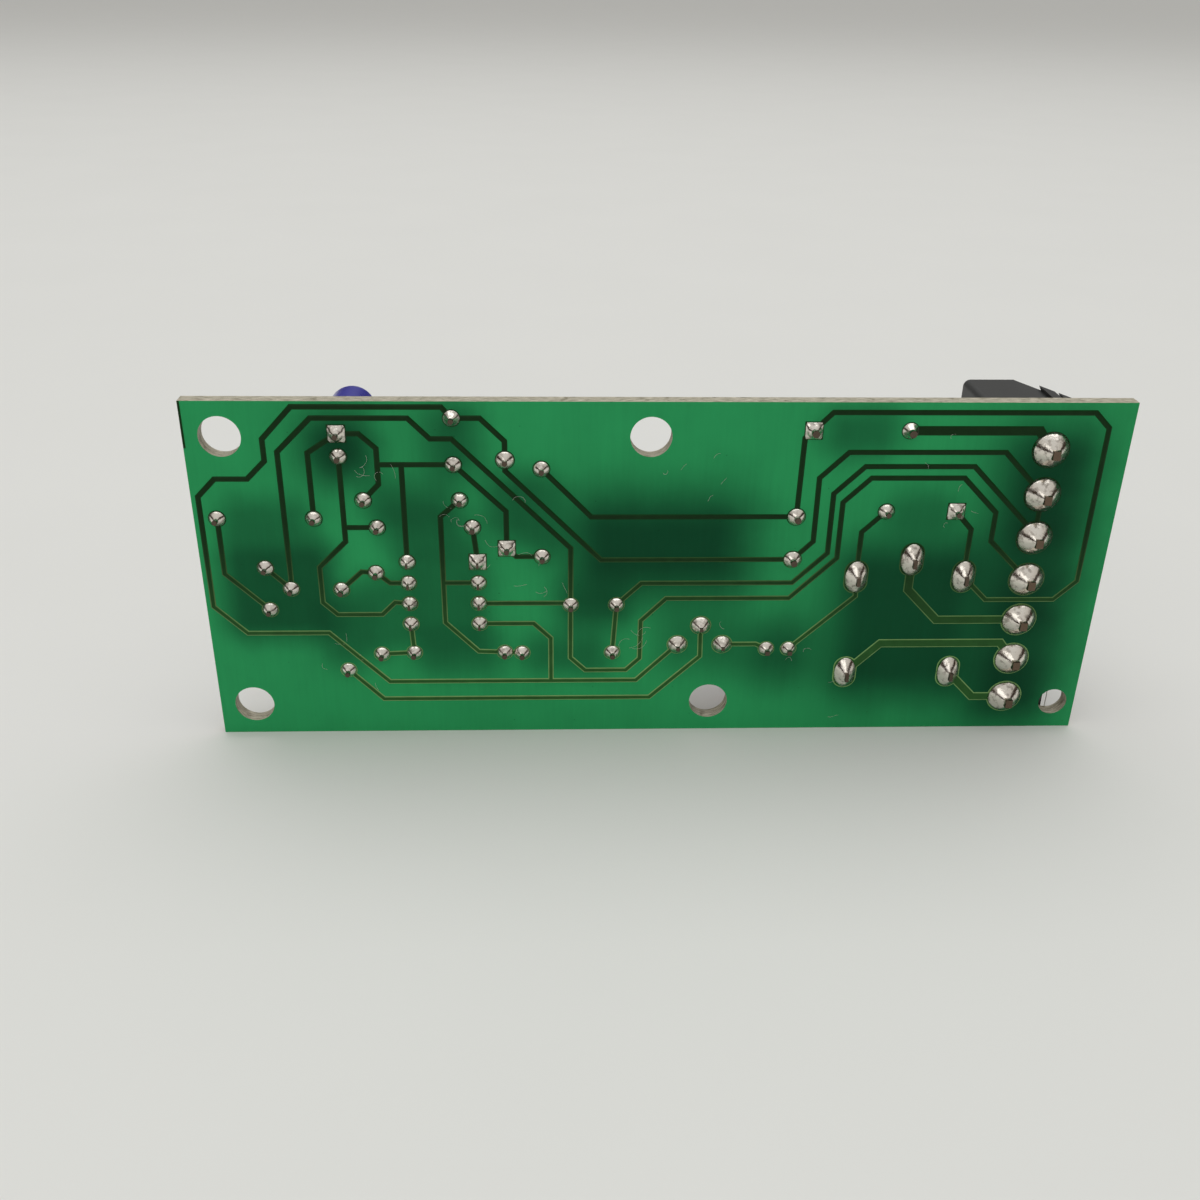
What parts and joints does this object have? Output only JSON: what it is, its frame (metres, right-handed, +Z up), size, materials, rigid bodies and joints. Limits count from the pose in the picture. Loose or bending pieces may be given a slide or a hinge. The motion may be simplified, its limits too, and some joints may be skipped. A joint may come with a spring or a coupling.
{
  "type": "printed circuit board",
  "caption": "Single-sided relay control board with green mask, soldered joints, a row of screw terminals, relay, trimmer and small parts behind.",
  "frame": {"origin": "middle of the whole object's footprint, on the surface that the board's long edge stands on", "axes": "+X along the board to the right as seen from the solder face, +Y from the solder face towards the components, +Z up the board's width"},
  "size_m": [0.099, 0.0188, 0.0399],
  "materials": {
    "laminate": "glass-filled laminate with a satin green solder mask on one face",
    "masked_copper": "copper foil under green solder mask",
    "solder": "bright tin solder",
    "block_plastic": "moulded black nylon",
    "tinned_brass": "tin-plated brass",
    "screw_steel": "zinc-plated steel",
    "cage_steel": "zinc-plated steel",
    "relay_plastic": "smooth blue moulded case",
    "base_plastic": "dark moulded base",
    "moulding_black": "fine matt epoxy moulding",
    "trimmer_plastic": "blue moulded body",
    "rotor_plastic": "white moulded rotor",
    "can_aluminium": "drawn aluminium",
    "sleeve_film": "shrunk blue film",
    "bung_rubber": "black rubber",
    "disc_coating": "dipped orange coating",
    "resistor_coating": "dipped pale blue lacquer",
    "diode_moulding": "black epoxy moulding",
    "diode_glass": "tinted glass",
    "lens_epoxy": "clear red epoxy",
    "tinned_lead": "tinned wire"
  },
  "bodies": {
    "board": {"circuit_board": "laminate", "copper_tracks": "masked_copper", "solder_joints": "solder", "terminal_housing_1": "block_plastic", "terminal_housing_2": "block_plastic", "terminal_housing_3": "block_plastic", "terminal_contacts": "tinned_brass", "relay_case": "relay_plastic", "relay_base": "base_plastic", "relay_pins": "tinned_lead", "ic_body": "moulding_black", "ic_pins": "tinned_lead", "trimmer_body": "trimmer_plastic", "trimmer_pins": "tinned_lead", "small_capacitor_can": "can_aluminium", "small_capacitor_sleeve": "sleeve_film", "small_capacitor_bung": "bung_rubber", "small_capacitor_leads": "tinned_lead", "large_capacitor_can": "can_aluminium", "large_capacitor_sleeve": "sleeve_film", "large_capacitor_bung": "bung_rubber", "large_capacitor_leads": "tinned_lead", "ceramic_capacitor_1": "disc_coating", "ceramic_capacitor_2": "disc_coating", "ceramic_capacitor_leads": "tinned_lead", "resistor_1": "resistor_coating", "resistor_2": "resistor_coating", "resistor_3": "resistor_coating", "resistor_4": "resistor_coating", "resistor_5": "resistor_coating", "resistor_6": "resistor_coating", "resistor_7": "resistor_coating", "resistor_8": "resistor_coating", "resistor_leads": "tinned_lead", "rectifier_diode": "diode_moulding", "signal_diode": "diode_glass", "zener_diode": "diode_glass", "diode_leads": "tinned_lead", "transistor_body": "moulding_black", "transistor_leads": "tinned_lead", "indicator_lens": "lens_epoxy", "indicator_leads": "tinned_lead"},
    "screw_1": {"clamp_screw_1": "screw_steel"},
    "cage_1": {"clamp_cage_1": "cage_steel"},
    "screw_2": {"clamp_screw_2": "screw_steel"},
    "cage_2": {"clamp_cage_2": "cage_steel"},
    "screw_3": {"clamp_screw_3": "screw_steel"},
    "cage_3": {"clamp_cage_3": "cage_steel"},
    "screw_4": {"clamp_screw_4": "screw_steel"},
    "cage_4": {"clamp_cage_4": "cage_steel"},
    "screw_5": {"clamp_screw_5": "screw_steel"},
    "cage_5": {"clamp_cage_5": "cage_steel"},
    "screw_6": {"clamp_screw_6": "screw_steel"},
    "cage_6": {"clamp_cage_6": "cage_steel"},
    "screw_7": {"clamp_screw_7": "screw_steel"},
    "cage_7": {"clamp_cage_7": "cage_steel"},
    "rotor": {"trimmer_rotor": "rotor_plastic"}
  },
  "joints": [
    {"name": "screw_1_turn", "type": "hinge", "parent": "board", "child": "screw_1", "pos_m": [0.03969, 0.0041, 0.03468], "axis": [0, -1, 0], "range_deg": [0, 2000]},
    {"name": "cage_1_lift", "type": "slide", "parent": "board", "child": "cage_1", "axis": [0, 1, 0], "range_m": [0, 0.0025]},
    {"name": "screw_2_turn", "type": "hinge", "parent": "board", "child": "screw_2", "pos_m": [0.03969, 0.0041, 0.0296], "axis": [0, -1, 0], "range_deg": [0, 2000]},
    {"name": "cage_2_lift", "type": "slide", "parent": "board", "child": "cage_2", "axis": [0, 1, 0], "range_m": [0, 0.0025]},
    {"name": "screw_3_turn", "type": "hinge", "parent": "board", "child": "screw_3", "pos_m": [0.03969, 0.0041, 0.02452], "axis": [0, -1, 0], "range_deg": [0, 2000]},
    {"name": "cage_3_lift", "type": "slide", "parent": "board", "child": "cage_3", "axis": [0, 1, 0], "range_m": [0, 0.0025]},
    {"name": "screw_4_turn", "type": "hinge", "parent": "board", "child": "screw_4", "pos_m": [0.03969, 0.0041, 0.01944], "axis": [0, -1, 0], "range_deg": [0, 2000]},
    {"name": "cage_4_lift", "type": "slide", "parent": "board", "child": "cage_4", "axis": [0, 1, 0], "range_m": [0, 0.0025]},
    {"name": "screw_5_turn", "type": "hinge", "parent": "board", "child": "screw_5", "pos_m": [0.03969, 0.0041, 0.01436], "axis": [0, -1, 0], "range_deg": [0, 2000]},
    {"name": "cage_5_lift", "type": "slide", "parent": "board", "child": "cage_5", "axis": [0, 1, 0], "range_m": [0, 0.0025]},
    {"name": "screw_6_turn", "type": "hinge", "parent": "board", "child": "screw_6", "pos_m": [0.03969, 0.0041, 0.00928], "axis": [0, -1, 0], "range_deg": [0, 2000]},
    {"name": "cage_6_lift", "type": "slide", "parent": "board", "child": "cage_6", "axis": [0, 1, 0], "range_m": [0, 0.0025]},
    {"name": "screw_7_turn", "type": "hinge", "parent": "board", "child": "screw_7", "pos_m": [0.03969, 0.0041, 0.0042], "axis": [0, -1, 0], "range_deg": [0, 2000]},
    {"name": "cage_7_lift", "type": "slide", "parent": "board", "child": "cage_7", "axis": [0, 1, 0], "range_m": [0, 0.0025]},
    {"name": "trimmer_turn", "type": "hinge", "parent": "board", "child": "rotor", "pos_m": [-0.04138, -0.0029, 0.01855], "axis": [0, 1, 0], "range_deg": [-140, 140]}
  ],
  "couplings": [
    {"joint": "screw_1_turn", "follows": "cage_1_lift", "rad_per_m": 13963},
    {"joint": "screw_2_turn", "follows": "cage_2_lift", "rad_per_m": 13963},
    {"joint": "screw_3_turn", "follows": "cage_3_lift", "rad_per_m": 13963},
    {"joint": "screw_4_turn", "follows": "cage_4_lift", "rad_per_m": 13963},
    {"joint": "screw_5_turn", "follows": "cage_5_lift", "rad_per_m": 13963},
    {"joint": "screw_6_turn", "follows": "cage_6_lift", "rad_per_m": 13963},
    {"joint": "screw_7_turn", "follows": "cage_7_lift", "rad_per_m": 13963}
  ]
}
